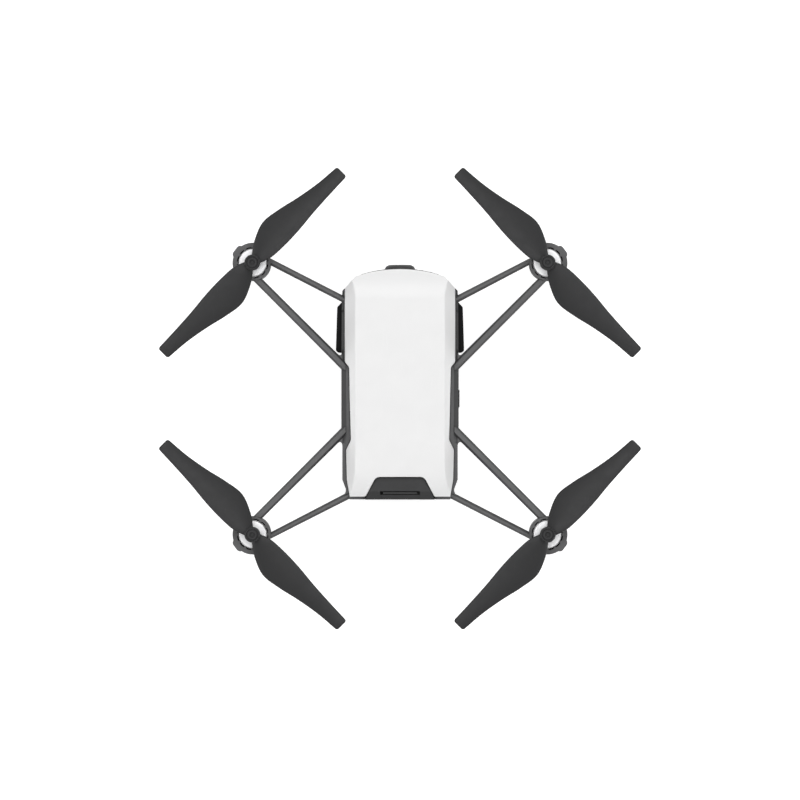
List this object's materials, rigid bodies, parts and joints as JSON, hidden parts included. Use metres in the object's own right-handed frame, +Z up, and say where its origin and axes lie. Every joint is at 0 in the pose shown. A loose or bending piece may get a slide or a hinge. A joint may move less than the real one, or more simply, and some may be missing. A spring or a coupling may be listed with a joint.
{
  "type": "quadcopter drone",
  "caption": "Small camera quadcopter: white clip-off cover, grey strut frame with motor sleeves, dark propellers and a slide-in battery.",
  "frame": {"origin": "on the ground, midway between the four motor axes", "axes": "+Z up, the nose and camera point along -Y, the craft's own left side is +X"},
  "size_m": [0.1418, 0.1358, 0.041],
  "materials": {
    "frame_plastic": "fine moulded satin",
    "inner_plastic": "matt",
    "white_plastic": "smooth satin, slightly glossy",
    "black_plastic": "smooth",
    "cap_plastic": "fine moulded satin",
    "blade_plastic": "fine moulded satin, slightly flexible",
    "foot_rubber": "matt",
    "battery_wrap": "thin film over a pouch cell",
    "circuit_board": "solder mask",
    "wire_sleeve": "smooth insulation",
    "copper_strip": "bright foil",
    "contact_metal": "gold plated",
    "winding_copper": "enamelled wire on a steel shaft",
    "motor_metal": "bright drawn can",
    "magnet_metal": "nickel plated",
    "motor_end_plastic": "natural nylon",
    "shield_metal": "tin plated sheet",
    "screw_steel": "dark zinc",
    "lens_glass": "coated",
    "dark_window": "infrared-clear, polished",
    "light_pipe": "milky diffuser"
  },
  "bodies": {
    "airframe": {"main_frame": "frame_plastic", "belly_cover": "frame_plastic", "board_deck": "inner_plastic", "nose_bezel": "frame_plastic", "antenna_cover_left": "black_plastic", "antenna_cover_right": "black_plastic", "antenna_left": "copper_strip", "antenna_right": "copper_strip", "antenna_leads": "wire_sleeve", "main_board": "circuit_board", "processor_shield": "shield_metal", "power_switch": "black_plastic", "usb_port": "shield_metal", "camera_module": "black_plastic", "camera_lens": "lens_glass", "camera_window": "lens_glass", "camera_ribbon": "copper_strip", "status_light": "light_pipe", "sensor_board": "circuit_board", "downward_camera": "black_plastic", "range_sensor": "black_plastic", "sensor_window": "dark_window", "board_screws": "screw_steel", "belly_screws": "screw_steel", "battery_connector": "black_plastic", "motor_magnets": "magnet_metal", "motor_can_front_left": "motor_metal", "motor_cap_front_left": "motor_end_plastic", "motor_leads_front_left": "wire_sleeve", "foot_front_left": "foot_rubber", "motor_can_front_right": "motor_metal", "motor_cap_front_right": "motor_end_plastic", "motor_leads_front_right": "wire_sleeve", "foot_front_right": "foot_rubber", "motor_can_rear_left": "motor_metal", "motor_cap_rear_left": "motor_end_plastic", "motor_leads_rear_left": "wire_sleeve", "foot_rear_left": "foot_rubber", "motor_can_rear_right": "motor_metal", "motor_cap_rear_right": "motor_end_plastic", "motor_leads_rear_right": "wire_sleeve", "foot_rear_right": "foot_rubber"},
    "battery": {"battery_pack": "battery_wrap", "battery_end_cap": "cap_plastic", "battery_contacts": "contact_metal"},
    "top_cover": {"top_cover": "white_plastic"},
    "power_button": {"power_button": "black_plastic"},
    "rotor_front_left": {"propeller_front_left": "blade_plastic", "motor_rotor_front_left": "winding_copper"},
    "rotor_front_right": {"propeller_front_right": "blade_plastic", "motor_rotor_front_right": "winding_copper"},
    "rotor_rear_left": {"propeller_rear_left": "blade_plastic", "motor_rotor_rear_left": "winding_copper"},
    "rotor_rear_right": {"propeller_rear_right": "blade_plastic", "motor_rotor_rear_right": "winding_copper"}
  },
  "joints": [
    {"name": "propeller_spin_front_left", "type": "hinge", "parent": "airframe", "child": "rotor_front_left", "pos_m": [0.0434, -0.04, 0.0384], "axis": [0, 0, 1], "continuous": true},
    {"name": "propeller_spin_front_right", "type": "hinge", "parent": "airframe", "child": "rotor_front_right", "pos_m": [-0.0434, -0.04, 0.0384], "axis": [0, 0, 1], "continuous": true},
    {"name": "propeller_spin_rear_left", "type": "hinge", "parent": "airframe", "child": "rotor_rear_left", "pos_m": [0.0434, 0.04, 0.0384], "axis": [0, 0, 1], "continuous": true},
    {"name": "propeller_spin_rear_right", "type": "hinge", "parent": "airframe", "child": "rotor_rear_right", "pos_m": [-0.0434, 0.04, 0.0384], "axis": [0, 0, 1], "continuous": true},
    {"name": "battery_slide", "type": "slide", "parent": "airframe", "child": "battery", "axis": [0, 1, 0], "range_m": [0, 0.048]},
    {"name": "cover_lift", "type": "slide", "parent": "airframe", "child": "top_cover", "axis": [0, 0, 1], "range_m": [0, 0.025]},
    {"name": "power_button_press", "type": "slide", "parent": "airframe", "child": "power_button", "axis": [1, 0, 0], "range_m": [0, 0.0004], "stiffness_N_per_m": 900}
  ]
}
